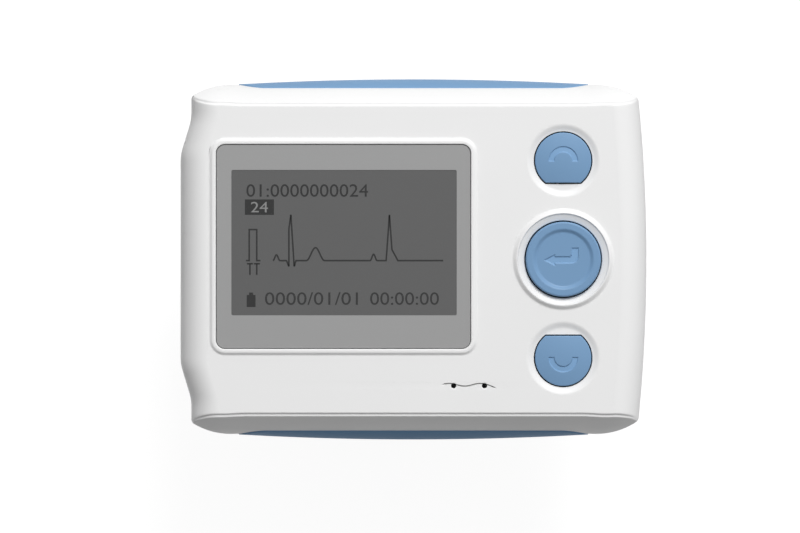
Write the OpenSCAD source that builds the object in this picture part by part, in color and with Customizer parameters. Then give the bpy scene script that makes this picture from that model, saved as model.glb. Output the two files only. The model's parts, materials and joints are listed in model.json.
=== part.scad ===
// Wearable heart recorder, lying on its back: the screen looks along +Z, the signs read along +X.
// The origin is the middle of the rear face. The front shell carries the screen, the board and the
// buttons. The rear shell carries the battery bay, its hinged door and the screws.

/* [Case] */
// Width over the bulge on the left side
case_w = 78; // [76:0.5:84]
// Height over the white sides, without the blue grips
case_h = 58.4; // [57.4:0.2:63]
// Depth from the rear face to the front face
case_d = 21.7; // [21.6:0.1:24]
// Wall thickness of both shells
wall = 1.8; // [1.6:0.1:2]
// Radius that rounds the left and right sides into the faces
edge_r = 4.6; // [3.6:0.1:5]
// Radius of the curved upper and lower sides
bevel_r = 18.7; // [17:0.1:20]
// Plan radius of the four corners
corner_r = 12; // [10:0.5:13]
// Plan radius of the bowed right side
side_r = 270; // [200:5:400]
// How far the bulge stands out of the left side
bulge = 1.8; // [1:0.1:2.2]
// Height of the flat top of the bulge
bulge_h = 35; // [28:0.5:38]
// Angle of the bulge's sloping ends
bulge_angle = 17; // [12:1:25]
// Depth of the step between the front face and the curved sides
face_step = 0.3; // [0.2:0.05:0.4]

/* [Grips] */
// Length of a blue side grip
grip_w = 58.6; // [50:0.2:60]
// Height of a grip on the curved side
grip_d = 10.1; // [8:0.1:11]
// How far a grip stands out at its middle
grip_proud = 1; // [0.8:0.05:1.2]
// Depth of the grip's seat under the side
grip_seat = 1.2; // [1.1:0.05:1.3]
// Radius of a locating peg
peg_r = 0.9; // [0.7:0.05:1.1]

/* [Screen] */
// Width of the clear window
window_w = 42; // [40.4:0.2:43]
// Height of the clear window
window_h = 33.6; // [31:0.2:34.6]
// Place of the window across the case
window_x = -11.6; // [-12:0.1:-10.5]
// Place of the window up the case
window_y = 2.1; // [1.5:0.1:2.5]
// Thickness of the window
window_t = 1.2; // [1:0.1:1.3]
// Corner radius of the window
window_r = 1.4; // [0.8:0.1:2]
// Width of the raised rim round the window
rim_w = 1.35; // [1:0.05:1.5]
// Height of the raised rims over the front face
rim_h = 0.5; // [0.3:0.05:0.6]
// Width of the picture
picture_w = 37.2; // [34:0.2:37.6]
// Height of the picture
picture_h = 24; // [20:0.2:24.4]
// Thickness of the display glass
glass_t = 2; // [1.6:0.1:2.1]
// Thickness of the backlight
backlight_t = 1.5; // [1.2:0.1:1.6]

/* [Buttons] */
// Place of the button row across the case
button_x = 24.7; // [24:0.1:26]
// Distance from one button to the next
button_pitch = 16.3; // [16:0.1:17]
// Radius of the middle button
enter_r = 6.2; // [5.8:0.1:6.6]
// Radius of the outer buttons
arrow_r = 4.65; // [4.4:0.05:5]
// Distance from an outer button's centre to its flat
arrow_flat = 3.66; // [3.4:0.02:4]
// Gap round each button in its hole
button_gap = 0.2; // [0.15:0.05:0.25]
// How far the buttons travel
button_travel = 0.4; // [0.2:0.05:0.45]
// Depth of the engraved signs
sign_depth = 0.2; // [0.1:0.05:0.3]

/* [Battery] */
// Radius of the cell
cell_r = 5.25; // [5.1:0.01:5.3]
// Length of the cell without its button
cell_l = 43.5; // [42:0.1:44]
// Room for the spring
spring_room = 3.7; // [3:0.1:4.2]
// Thickness of the door
door_t = 1.6; // [1.4:0.1:1.7]
// Radius of the door's hinge bar
knuckle_r = 1.6; // [1.5:0.05:1.7]
// Radius of the door's hinge pins
pin_r = 0.8; // [0.7:0.05:0.9]
// Running clearance of a pin in its bore
pin_gap = 0.06; // [0.04:0.01:0.08]

/* [Board and screws] */
// Thickness of the main board
board_t = 1.2; // [1:0.1:1.2]
// Shank radius of the housing screws
screw_r = 1; // [0.9:0.05:1.1]
// Head radius of the housing screws
head_r = 1.9; // [1.7:0.05:2]

/* [Hidden] */
$fn = 64;
far = 100;
white = [0.93, 0.93, 0.93];
blue = [0.44, 0.59, 0.73];
steel = [0.75, 0.75, 0.77];
black = [0.12, 0.12, 0.13];

// Levels, from the front face down
part_z = case_d / 2;
inner_z = case_d - wall;
window_proud = 0.2;
window_z = case_d + window_proud - window_t;
mask_t = 0.1;
pocket_z = window_z - mask_t;
gasket_t = 0.5;
lcd_z = inner_z - gasket_t;
frame_floor = 0.5;
board_z = lcd_z - glass_t - backlight_t - frame_floor;
board_low = board_z - board_t;

// The left side without its bulge, the flat of the front face and the boss places
base_x = case_w / 2 - bulge;
bevel_y = case_h / 2 - bevel_r;
face_y = bevel_y + sqrt(bevel_r * bevel_r - pow(part_z - face_step, 2)) - 2 * face_step;
corner_x = case_w / 2 - 9;
corner_y = case_h / 2 + 0.05 - corner_r;
boss_r = 2.6;
boss_x = case_w / 2 - 7.8;
boss_y = case_h / 2 - 7.6;
screw_gap = 0.15;
pilot_gap = 0.05;
head_t = 1.4;
head_sink = 0.5;

// Grip outline: two wide arcs cut off by two straight edges
grip_gap = 0.1;
seat_y = case_h / 2 - grip_seat;
grip_flat_x = 0.86 * grip_w / 2;
grip_arc_y = (pow(grip_w / 2, 2) - pow(grip_flat_x, 2) - pow(grip_d / 2, 2)) / grip_d;
grip_arc_r = sqrt(pow(grip_w / 2, 2) + grip_arc_y * grip_arc_y);
grip_bands = 16;
grip_section_r = 10.5;
peg_x = grip_w / 4;
peg_l = 1.5;
grip_pad = 1.7;

// Screen stack
picture_x = window_x + 0.1;
picture_y = window_y + 0.65;
opening_gap = 1.2;
frame_wall = 1;
frame_fit = 0.1;
panel_w = picture_w + 3.8;
panel_h = picture_h + 5.6;
frame_w = panel_w + 2 * (frame_fit + frame_wall);
frame_h = panel_h + 2 * (frame_fit + frame_wall);
panel_y = picture_y - 0.9;
window_fit = 0.1;
ribbon_w = 20;
ribbon_t = 0.15;

// Buttons and their switches
ring_r = enter_r + 1.4;
ring_out_r = enter_r + 2.4;
enter_z = case_d + 0.8;
arrow_z = case_d + 0.3;
dish_r = arrow_r + 1.38;
dish_t = 0.5;
flange_t = 0.7;
flange_gap = 0.1;
flange_z = inner_z - flange_gap;
flange_w = 0.5;
stem_r = 1.4;
switch_w = 5;
switch_h = 1.7;
cover_t = 0.2;
plunger_r = 1.2;
plunger_gap = 0.1;
plunger_z = board_z + switch_h + cover_t + 0.6;
plunger_l = 1.2;
plunger_room = 0.1;

// Battery bay, its door and hinge
bay_gap = 0.35;
bay_y = -(case_h / 2 - 16.9);
cell_z = door_t + 0.4 + cell_r;
nub_l = 1;
nub_r = 1.9;
contact_t = 0.4;
bay_l = cell_l + nub_l + spring_room + 2 * contact_t;
bay_w = 2 * (cell_r + bay_gap);
bay_top = cell_z + cell_r + 0.3;
bay_wall = 1.2;
bay_roof = 1;
door_gap = 0.2;
door_lap = 2;
door_w = bay_l + 2 * door_lap;
knuckle_gap = 0.3;
hinge_y = bay_y - bay_w / 2 - 0.8 - knuckle_gap - knuckle_r;
hinge_z = knuckle_r;
door_edge_y = bay_y + bay_w / 2 + 1.7;
pin_l = 1.2;
cell_end_x = -bay_l / 2 + contact_t + spring_room;
ledge_t = 1.2;
notch_r = 5;

// Lead socket in the bulge
socket_w = 8.8;
socket_h = board_low - part_z - 0.05;
socket_t = 0.35;
socket_l = 7.6;
socket_x = -case_w / 2 + 0.4;
socket_fit = 0.1;
socket_r = 0.9;
contact_count = 5;
contact_pitch = 1.1;
tongue_w = 6.2;

// Board and what it carries
board_left = -(base_x - wall - 1.4);
board_right = boss_x + 0.3;
board_y = case_h / 2 - 6.2;
post_r = 2;
post_y = board_y - 1.8;
post_xs = [-12, 18.5];
post_screw_r = 0.8;
post_head_r = 1.5;
sound_x = 9.15;
sound_y = -(case_h / 2 - 8.3);
sound_pitch = 5.1;
sound_r = 0.43;
buzzer_w = 9;
buzzer_h = 5.6;

function arrow_y(side) = side * button_pitch;

// Outline with rounded corners
module rounded_rect(w, h, r) {
    square([w - 2 * r, h], center = true);
    square([w, h - 2 * r], center = true);
    for (sx = [-1, 1], sy = [-1, 1])
        translate([sx * (w / 2 - r), sy * (h / 2 - r)]) circle(r);
}

module plate(w, h, r, t) {
    linear_extrude(t) rounded_rect(w, h, r);
}

// Section through a side: the outer edge at x = 0, set in by t, rounded into both faces
module rim_section(reach, t) {
    r = edge_r - t;
    translate([-reach, t]) square([reach - t - r, case_d - 2 * t]);
    translate([-reach, t + r]) square([reach - t, case_d - 2 * (t + r)]);
    for (z = [t + r, case_d - t - r]) translate([-t - r, z]) circle(r);
}

// Everything right of a straight side that runs through (x, y) at an angle
module left_slab(x, y, turn, t) {
    translate([x, y, 0]) rotate([0, 0, turn]) rotate([90, 0, 0])
        linear_extrude(4 * case_h, center = true) mirror([1, 0]) rim_section(case_w * 1.3, t);
}

module left_side(t) {
    left_slab(-base_x, 0, 0, t);
    intersection() {
        left_slab(-case_w / 2, 0, 0, t);
        left_slab(-case_w / 2, bulge_h / 2, -bulge_angle, t);
        left_slab(-case_w / 2, -bulge_h / 2, bulge_angle, t);
    }
}

// The bowed right side is a sector of a wide disc with a rounded rim
module right_side(t) {
    sweep = 26;
    translate([case_w / 2 - side_r, 0, 0]) rotate([0, 0, -sweep / 2])
        rotate_extrude(angle = sweep, $fn = 720) translate([side_r, 0]) rim_section(case_w + 4, t);
}

module plan_outline(t) {
    square([2 * corner_x, case_h + 4], center = true);
    square([case_w + 8, 2 * corner_y], center = true);
    for (sx = [-1, 1], sy = [-1, 1])
        translate([sx * corner_x, sy * corner_y]) circle(corner_r - t, $fn = 180);
}

module curved_sides(t) {
    rotate([90, 0, 90]) linear_extrude(case_w + 4, center = true) {
        translate([-bevel_y, part_z - case_d]) square([2 * bevel_y, 2 * case_d]);
        for (sy = [-1, 1]) translate([sy * bevel_y, part_z]) circle(bevel_r - t, $fn = 180);
    }
}

// The case as one block, all its walls set in by t
module case_block(t) {
    intersection() {
        left_side(t);
        right_side(t);
        curved_sides(t);
        translate([0, 0, -1]) linear_extrude(case_d + 2) plan_outline(t);
    }
}

module below(z) {
    translate([-far / 2, -far / 2, z - far]) cube(far);
}

module above(z) {
    translate([-far / 2, -far / 2, z]) cube(far);
}

module at_bosses() {
    for (sx = [-1, 1], sy = [-1, 1]) translate([sx * boss_x, sy * boss_y, 0]) children();
}

module at_posts() {
    for (x = post_xs, sy = [-1, 1]) translate([x, sy * post_y, 0]) children();
}

// Boat outline of a grip, drawn along X and Z, made smaller by t
module grip_outline(t) {
    intersection() {
        square([grip_w + 2, grip_d - 2 * t], center = true);
        translate([0, -grip_arc_y]) circle(grip_arc_r - t, $fn = 360);
        translate([0, grip_arc_y]) circle(grip_arc_r - t, $fn = 360);
    }
}

module grip_prism(side, t, y0, y1) {
    translate([0, side * (side > 0 ? y1 : y0), part_z]) rotate([90, 0, 0])
        linear_extrude(y1 - y0) grip_outline(t);
}

// What both shells share where a grip sits: a thicker wall, a seat and two peg holes
module grip_backing(side) {
    translate([-grip_w / 2, side * (seat_y - grip_pad / 2) - (grip_pad - 0.8) / 2, part_z - grip_d / 2 - 1])
        translate([0, side > 0 ? -0.4 : 0.4, 0]) cube([grip_w, grip_pad - 0.8, grip_d + 2]);
}

module grip_seat_cut(side) {
    grip_prism(side, -grip_gap, seat_y, case_h / 2 + 2);
    for (sx = [-1, 1]) translate([sx * peg_x, side * seat_y, part_z]) rotate([90, 0, 0])
        cylinder(h = 2 * (peg_l + 0.1), r = peg_r + grip_gap, center = true);
}

// A grip is the boat outline under a barrel, whose radius falls off with the square of x in fine bands
function barrel_radius(x) = grip_section_r - grip_proud * pow(2 * x / grip_w, 2);

module grip(side) {
    intersection() {
        grip_prism(side, 0, seat_y, case_h / 2 + 2);
        translate([0, side * (case_h / 2 + grip_proud - grip_section_r), part_z]) rotate([0, 90, 0])
            rotate_extrude($fn = 180) polygon(concat([[0, grip_w / 2 + 1], [0, -grip_w / 2 - 1]],
                [for (i = [0:grip_bands]) let (x = (grip_w + 2) * (i / grip_bands - 0.5))
                    [barrel_radius(x), x]]));
    }
    for (sx = [-1, 1]) translate([sx * peg_x, side * (seat_y - peg_l / 2 + 0.1), part_z])
        rotate([90, 0, 0]) cylinder(h = peg_l + 0.2, r = peg_r, center = true);
}

// Front shell

// Raised frame round the window: its outer sides slope at 45 degrees over the rim's height
module window_rim() {
    low_w = window_w + 2 * rim_w;
    low_h = window_h + 2 * rim_w;
    translate([window_x, window_y, case_d - 1]) intersection() {
        plate(low_w + 0.2, low_h + 0.2, window_r + rim_w, 1 + rim_h);
        rotate([90, 0, 0]) linear_extrude(far, center = true) rim_slope(low_w);
        rotate([90, 0, 90]) linear_extrude(far, center = true) rim_slope(low_h);
    }
}

module rim_slope(w) {
    polygon([[-w / 2 - 0.1, 0], [w / 2 + 0.1, 0], [w / 2 + 0.1, 0.9], [w / 2 - rim_h, 1 + rim_h],
        [-w / 2 + rim_h, 1 + rim_h], [-w / 2 - 0.1, 0.9]]);
}

module enter_ring() {
    translate([button_x, 0, case_d]) rotate_extrude() polygon([[enter_r - 1, -1],
        [ring_out_r + 0.1, -1], [ring_out_r + 0.1, -0.1], [ring_r + 0.35, rim_h], [ring_r - 0.25, rim_h],
        [enter_r + button_gap, 0.05], [enter_r - 1, 0.05]]);
}

module arrow_outline(side, grow) {
    intersection() {
        circle(arrow_r + grow);
        translate([-far / 2, side > 0 ? -arrow_flat - grow : arrow_flat + grow - far]) square(far);
    }
}

module front_openings() {
    translate([window_x, window_y, pocket_z])
        plate(window_w + 2 * window_fit, window_h + 2 * window_fit, window_r + window_fit, far);
    translate([picture_x, picture_y, inner_z - 1])
        plate(picture_w + 2 * opening_gap, picture_h + 2 * opening_gap, window_r, far);
    translate([button_x, 0, inner_z - 1]) cylinder(h = far, r = enter_r + button_gap);
    for (side = [-1, 1]) translate([button_x, arrow_y(side), 0]) {
        translate([0, 0, inner_z - 1]) linear_extrude(far) arrow_outline(side, button_gap);
        translate([0, 0, case_d - dish_t]) cylinder(h = 2 * dish_t, r1 = dish_r - 0.9, r2 = dish_r + 0.9);
    }
    for (s = [-1, 1]) translate([sound_x + s * sound_pitch / 2, sound_y, inner_z - 1])
        cylinder(h = far, r = sound_r, $fn = 32);
}

// Mouth for the lead socket, open towards the rear shell
module socket_mouth() {
    translate([-case_w / 2 - 1, 0, part_z + socket_h / 2]) rotate([90, 0, 90])
        linear_extrude(wall + edge_r) {
            rounded_rect(socket_w + 2 * socket_fit, socket_h + 0.1 + 2 * socket_fit, socket_r);
            translate([-socket_w / 2 - socket_fit, -socket_h]) square([socket_w + 2 * socket_fit, socket_h]);
        }
}

module front_shell() {
    color(white) difference() {
        union() {
            difference() {
                case_block(0);
                case_block(wall);
                below(part_z);
                for (sy = [-1, 1]) translate([-far / 2, sy > 0 ? face_y : -face_y - far, case_d - face_step])
                    cube(far);
            }
            window_rim();
            enter_ring();
            at_bosses() translate([0, 0, part_z]) cylinder(h = inner_z + 0.3 - part_z, r = boss_r);
            at_posts() translate([0, 0, board_z]) cylinder(h = inner_z + 0.3 - board_z, r = post_r);
            intersection() {
                union() for (side = [-1, 1]) grip_backing(side);
                above(part_z);
            }
        }
        front_openings();
        socket_mouth();
        for (side = [-1, 1]) grip_seat_cut(side);
        at_bosses() translate([0, 0, part_z - 1]) cylinder(h = 6.5, r = screw_r + pilot_gap);
        at_posts() translate([0, 0, board_z - 1]) cylinder(h = 4.5, r = post_screw_r + pilot_gap);
    }
}

// Rear shell

module bay_box(grow, z0, z1) {
    translate([-bay_l / 2 - grow, bay_y - bay_w / 2 - grow, z0])
        cube([bay_l + 2 * grow, bay_w + 2 * grow, z1 - z0]);
}

module hinge_pocket() {
    l = door_w + 2 * door_gap;
    translate([-l / 2, hinge_y, hinge_z]) rotate([0, 90, 0])
        cylinder(h = l, r = knuckle_r + knuckle_gap);
    translate([-l / 2, hinge_y - knuckle_r - knuckle_gap, -1])
        cube([l, 2 * (knuckle_r + knuckle_gap), hinge_z + 1]);
}

module rear_shell() {
    pad_w = door_w + 2 * (pin_l + 1);
    floor_z = door_t + door_gap;
    color(white) difference() {
        union() {
            difference() {
                case_block(0);
                case_block(wall);
                above(part_z);
            }
            at_bosses() translate([0, 0, wall / 2]) cylinder(h = part_z - wall / 2, r = boss_r + 0.3);
            translate([-pad_w / 2, hinge_y, wall / 2])
                cube([pad_w, door_edge_y + 1.4 - hinge_y, floor_z + ledge_t - wall / 2]);
            translate([-pad_w / 2, hinge_y - knuckle_r - 1.6, wall / 2])
                cube([pad_w, 2 * knuckle_r + 2.2, hinge_z + knuckle_r + 1.1 - wall / 2]);
            bay_box(bay_wall, floor_z, bay_top + bay_roof);
            intersection() {
                union() for (side = [-1, 1]) grip_backing(side);
                below(part_z);
            }
        }
        bay_box(0, -1, bay_top);
        translate([-door_w / 2 - door_gap, hinge_y, -1])
            cube([door_w + 2 * door_gap, door_edge_y + door_gap - hinge_y, floor_z + 1]);
        hinge_pocket();
        translate([-door_w / 2 - pin_l - 0.2, hinge_y, hinge_z]) rotate([0, 90, 0])
            cylinder(h = door_w + 2 * pin_l + 0.4, r = pin_r + pin_gap);
        translate([0, door_edge_y + 1.6, -1]) cylinder(h = 2, r = notch_r);
        for (side = [-1, 1]) grip_seat_cut(side);
        at_bosses() translate([0, 0, -1]) cylinder(h = head_sink + head_t + 1, r = head_r + screw_gap);
        at_bosses() cylinder(h = far, r = screw_r + screw_gap);
    }
}

module battery_door() {
    color(white) {
        difference() {
            translate([-door_w / 2, hinge_y, 0]) cube([door_w, door_edge_y - hinge_y, door_t]);
            translate([0, door_edge_y + 1.6, -1]) cylinder(h = 1.6, r = notch_r);
        }
        translate([-door_w / 2, hinge_y, hinge_z]) rotate([0, 90, 0]) cylinder(h = door_w, r = knuckle_r);
        translate([-door_w / 2 - pin_l, hinge_y, hinge_z]) rotate([0, 90, 0])
            cylinder(h = door_w + 2 * pin_l, r = pin_r);
    }
}

module top_trim() {
    color(blue) grip(1);
}

module bottom_trim() {
    color(blue) grip(-1);
}

// Screen

module window_lens() {
    color([0.8, 0.85, 0.88, 0.4]) translate([window_x, window_y, window_z])
        plate(window_w, window_h, window_r, window_t);
}

module lens_mask() {
    color([0.6, 0.6, 0.61]) translate([0, 0, pocket_z]) difference() {
        translate([window_x, window_y, 0]) plate(window_w, window_h, window_r, mask_t);
        translate([picture_x, picture_y, -1]) linear_extrude(3) square([picture_w, picture_h], center = true);
    }
}

module lcd_panel() {
    color([0.4, 0.4, 0.39]) translate([picture_x, panel_y, lcd_z - glass_t])
        linear_extrude(glass_t) square([panel_w, panel_h], center = true);
}

module lcd_backlight() {
    color("white") translate([picture_x, panel_y, lcd_z - glass_t - backlight_t])
        linear_extrude(backlight_t) square([panel_w - 0.4, panel_h - 0.4], center = true);
}

module lcd_frame() {
    color(black) translate([picture_x, panel_y, board_z]) difference() {
        plate(frame_w, frame_h, frame_wall, lcd_z - board_z);
        translate([0, 0, frame_floor]) linear_extrude(far)
            square([panel_w + 2 * frame_fit, panel_h + 2 * frame_fit], center = true);
        translate([-ribbon_w / 2 - 1, -frame_h, frame_floor]) cube([ribbon_w + 2, frame_h, far]);
    }
}

module lcd_gasket() {
    color([0.2, 0.2, 0.2]) translate([0, 0, lcd_z]) linear_extrude(gasket_t) difference() {
        translate([picture_x, panel_y]) square([panel_w, panel_h], center = true);
        translate([picture_x, picture_y])
            square([picture_w + 2 * opening_gap, picture_h + 2 * opening_gap], center = true);
    }
}

// Flat cable from the display glass round to the board
module lcd_ribbon() {
    r = (lcd_z - glass_t + 0.6 - board_z) / 2;
    lead = frame_wall + 0.5;
    color([0.75, 0.5, 0.2]) translate([picture_x, panel_y - panel_h / 2 - lead, board_z + r])
        rotate([90, 0, 90]) linear_extrude(ribbon_w, center = true) {
            intersection() {
                difference() {
                    circle(r);
                    circle(r - ribbon_t);
                }
                translate([-far, -far / 2]) square(far);
            }
            translate([-0.1, r - ribbon_t]) square([lead + 0.1, ribbon_t]);
            translate([-0.1, -r]) square([0.3, ribbon_t]);
        }
}

// Buttons

// Cap with its edges broken, a flange under the wall and a stem down to the switch
module enter_button() {
    under_z = flange_z - flange_t;
    color(blue) translate([button_x, 0, 0]) difference() {
        union() {
            rotate_extrude() difference() {
                polygon([[0, under_z], [enter_r + button_gap + flange_w, under_z],
                    [enter_r + button_gap + flange_w, flange_z], [enter_r, flange_z],
                    [enter_r, enter_z - 0.35], [enter_r - 0.35, enter_z], [enter_r - 1.3, enter_z],
                    [enter_r - 2.1, enter_z - 0.35], [0, enter_z - 0.35]]);
                translate([0, under_z - 1]) square([enter_r - 1, enter_z - 1.4 - under_z + 1]);
            }
            translate([0, 0, plunger_z]) cylinder(h = enter_z - 1 - plunger_z, r = stem_r);
        }
        translate([0, 0, enter_z - 0.35 - sign_depth]) linear_extrude(1) return_arrow();
    }
}

// Arrow that turns back to the left
module return_arrow() {
    bar = 0.95;
    low = -0.64;
    polygon([[-3.05, low + bar / 2], [-1.5, low + bar / 2 - 1.05], [-1.5, low], [2.44, low], [2.44, 1.83],
        [2.44 - bar, 1.83], [2.44 - bar, low + bar], [-1.5, low + bar], [-1.5, low + bar / 2 + 1.05]]);
}

// Domed cap with one flat side, an engraved half ring, a flange and a stem
module arrow_button(side) {
    under_z = flange_z - flange_t;
    dome_r = 26;
    color(blue) translate([button_x, arrow_y(side), 0]) difference() {
        union() {
            intersection() {
                translate([0, 0, under_z]) linear_extrude(case_d) arrow_outline(side, 0);
                translate([0, 0, arrow_z - dome_r]) sphere(dome_r, $fn = 256);
            }
            translate([0, 0, under_z]) linear_extrude(flange_t) arrow_outline(side, button_gap + flange_w / 2);
            translate([0, 0, plunger_z]) cylinder(h = under_z + 1 - plunger_z, r = stem_r);
        }
        translate([0, 0, under_z - 1]) difference() {
            cylinder(h = arrow_z - 1.4 - under_z + 1, r = arrow_flat - 0.9);
            cylinder(h = far, r = stem_r);
        }
        translate([0, side * -0.1, arrow_z - sign_depth - 0.1]) rotate([0, 0, side > 0 ? 0 : 180])
            rotate_extrude(angle = 180) translate([1.5, 0]) square([0.9, 1]);
    }
}

module up_button() {
    arrow_button(1);
}

module down_button() {
    arrow_button(-1);
}

module key_switch(y) {
    color(black) translate([button_x, y, board_z]) difference() {
        translate([-switch_w / 2, -switch_w / 2, 0]) cube([switch_w, switch_w, switch_h]);
        translate([0, 0, plunger_z - plunger_l - button_travel - plunger_room - board_z])
            cylinder(h = far, r = plunger_r + plunger_gap);
    }
}

module key_plunger(y) {
    color([0.9, 0.9, 0.88]) translate([button_x, y, plunger_z - plunger_l])
        cylinder(h = plunger_l, r = plunger_r);
}

module up_switch() {
    key_switch(arrow_y(1));
}

module enter_switch() {
    key_switch(0);
}

module down_switch() {
    key_switch(arrow_y(-1));
}

module up_plunger() {
    key_plunger(arrow_y(1));
}

module enter_plunger() {
    key_plunger(0);
}

module down_plunger() {
    key_plunger(arrow_y(-1));
}

// Metal covers clipped over the three switches
module switch_covers() {
    color(steel) for (side = [-1, 0, 1]) translate([button_x, arrow_y(side), board_z + switch_h])
        linear_extrude(cover_t) difference() {
            square(switch_w, center = true);
            circle(plunger_r + plunger_gap + 0.1);
        }
}

// Board, its screws and the parts on it

module main_board() {
    color([0.1, 0.35, 0.2]) translate([0, 0, board_low]) linear_extrude(board_t) difference() {
        translate([board_left, -board_y]) square([board_right - board_left, 2 * board_y]);
        for (sx = [-1, 1], sy = [-1, 1]) translate([sx * boss_x, sy * boss_y]) {
            circle(boss_r + 0.4);
            translate([sx > 0 ? 0 : -far, sy > 0 ? -boss_r - 0.4 : boss_r + 0.4 - far]) square(far);
            translate([sx > 0 ? -boss_r - 0.4 : boss_r + 0.4 - far, sy > 0 ? 0 : -far]) square(far);
        }
        for (x = post_xs, sy = [-1, 1]) translate([x, sy * post_y]) circle(post_screw_r + 0.3);
    }
}

module cross_slot(r) {
    for (turn = [0, 90]) rotate([0, 0, turn]) cube([1.3 * r, 0.28 * r, 1], center = true);
}

module board_screws() {
    color(steel) at_posts() {
        translate([0, 0, board_low]) cylinder(h = board_t + 3, r = post_screw_r);
        translate([0, 0, board_low - 1]) difference() {
            cylinder(h = 1, r = post_head_r);
            cross_slot(post_head_r);
        }
    }
}

module housing_screws() {
    color(steel) at_bosses() {
        translate([0, 0, head_sink + head_t]) cylinder(h = part_z + 5 - head_sink - head_t, r = screw_r);
        translate([0, 0, head_sink]) difference() {
            cylinder(h = head_t, r = head_r);
            cross_slot(head_r);
        }
    }
}

module buzzer() {
    color(black) translate([sound_x - buzzer_w / 2, sound_y + 0.7 - buzzer_h / 2, board_z]) difference() {
        cube([buzzer_w, buzzer_h, lcd_z - board_z]);
        translate([buzzer_w / 2, buzzer_h / 2, lcd_z - board_z - 1]) cylinder(h = 2, r = 1);
    }
}

module buzzer_gasket() {
    color([0.25, 0.25, 0.25]) translate([sound_x, sound_y + 0.7, lcd_z]) linear_extrude(gasket_t)
        difference() {
            square([buzzer_w, buzzer_h], center = true);
            square([buzzer_w - 2, buzzer_h - 2], center = true);
        }
}

module lead_socket_shell() {
    color(steel) translate([socket_x, 0, board_low - socket_h / 2]) rotate([90, 0, 90])
        linear_extrude(socket_l) difference() {
            rounded_rect(socket_w, socket_h, socket_r);
            rounded_rect(socket_w - 2 * socket_t, socket_h - 2 * socket_t, socket_r - socket_t);
        }
}

module lead_socket_insert() {
    inner_w = socket_w - 2 * socket_t;
    inner_h = socket_h - 2 * socket_t;
    color(black) translate([socket_x + socket_l - 3, 0, board_low - socket_h / 2]) {
        rotate([90, 0, 90]) linear_extrude(3) rounded_rect(inner_w, inner_h, socket_r - socket_t);
        translate([-3.4, -tongue_w / 2, -0.4]) cube([3.5, tongue_w, 0.8]);
    }
}

module lead_socket_contacts() {
    color([0.85, 0.7, 0.35]) for (i = [0:contact_count - 1])
        translate([socket_x + socket_l, (i - (contact_count - 1) / 2) * contact_pitch, board_low]) {
            translate([-6, -0.25, -socket_h / 2 + 0.4]) cube([3, 0.5, 0.12]);
            translate([0, -0.2, -0.3]) cube([1.2, 0.4, 0.3]);
            translate([0, -0.2, -socket_h / 2 - 0.1]) cube([0.3, 0.4, socket_h / 2 + 0.1]);
        }
}

module battery() {
    color([0.3, 0.32, 0.34]) translate([cell_end_x, bay_y, cell_z]) rotate([0, 90, 0]) {
        cylinder(h = cell_l, r = cell_r);
        cylinder(h = cell_l + nub_l, r = nub_r);
    }
}

// Conical wire coil: rings of points round a spiral, joined side by side
spring_turns = 3.5;
spring_rings = 70;
spring_sides = 8;
wire_r = 0.3;

function spring_angle(i) = 360 * spring_turns * i / spring_rings;
function spring_radius(i) = 3.6 - 2 * i / spring_rings;
function spring_rise(i) = wire_r + (spring_room - 2 * wire_r - 0.1) * i / spring_rings;
function spring_point(i, k) = let (a = spring_angle(i), b = 360 * k / spring_sides,
    r = spring_radius(i) + wire_r * cos(b)) [spring_rise(i) + wire_r * sin(b), r * cos(a), r * sin(a)];

module battery_spring() {
    points = [for (i = [0:spring_rings], k = [0:spring_sides - 1]) spring_point(i, k)];
    sides = [for (i = [0:spring_rings - 1], k = [0:spring_sides - 1]) let (n = (k + 1) % spring_sides)
        [i * spring_sides + k, i * spring_sides + n, (i + 1) * spring_sides + n, (i + 1) * spring_sides + k]];
    first = [for (k = [spring_sides - 1:-1:0]) k];
    last = [for (k = [0:spring_sides - 1]) spring_rings * spring_sides + k];
    color(steel) translate([-bay_l / 2, bay_y, cell_z]) {
        translate([contact_t - 0.05, 0, 0]) polyhedron(points, concat(sides, [first, last]));
        translate([0, -4.4, -4.4]) cube([contact_t, 8.8, 8.8]);
    }
}

module battery_plate() {
    color(steel) translate([bay_l / 2 - contact_t, bay_y - 4.4, cell_z - 4.4]) cube([contact_t, 8.8, 8.8]);
}

// Part on the underside of the board: size, place and thickness
module under_board(x, y, w, h, t) {
    translate([x - w / 2, y - h / 2, board_low - t]) cube([w, h, t]);
}

module main_processor() {
    color(black) under_board(0, 9, 7, 7, 0.9);
}

module memory_chip() {
    color(black) under_board(12, 8, 6, 5, 0.9);
}

module amplifier_chip() {
    color(black) under_board(-17, 9, 6, 6, 0.9);
}

module ecg_shield() {
    color(steel) difference() {
        under_board(-17, 9, 16, 13, 2.4);
        translate([0, 0, 0.25]) under_board(-17, 9, 15.5, 12.5, 2.4);
    }
}

module clock_crystal() {
    color(steel) under_board(5, 17.5, 3.2, 1.5, 0.8);
}

module boost_inductor() {
    color([0.3, 0.3, 0.32]) translate([0, 0, board_low - 2]) linear_extrude(2)
        translate([post_xs[1] - 1.5, post_y - 5.2]) difference() {
            rounded_rect(5, 5, 1.2);
            circle(0.8);
        }
}

module capacitors() {
    color([0.65, 0.55, 0.4]) {
        for (i = [0:5]) under_board(-4 + 2.4 * i, 2.5, 1, 1.6, 0.8);
        for (i = [0:2]) under_board(22 + 2.2 * i, 10, 1.2, 2, 1);
    }
}

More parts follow.
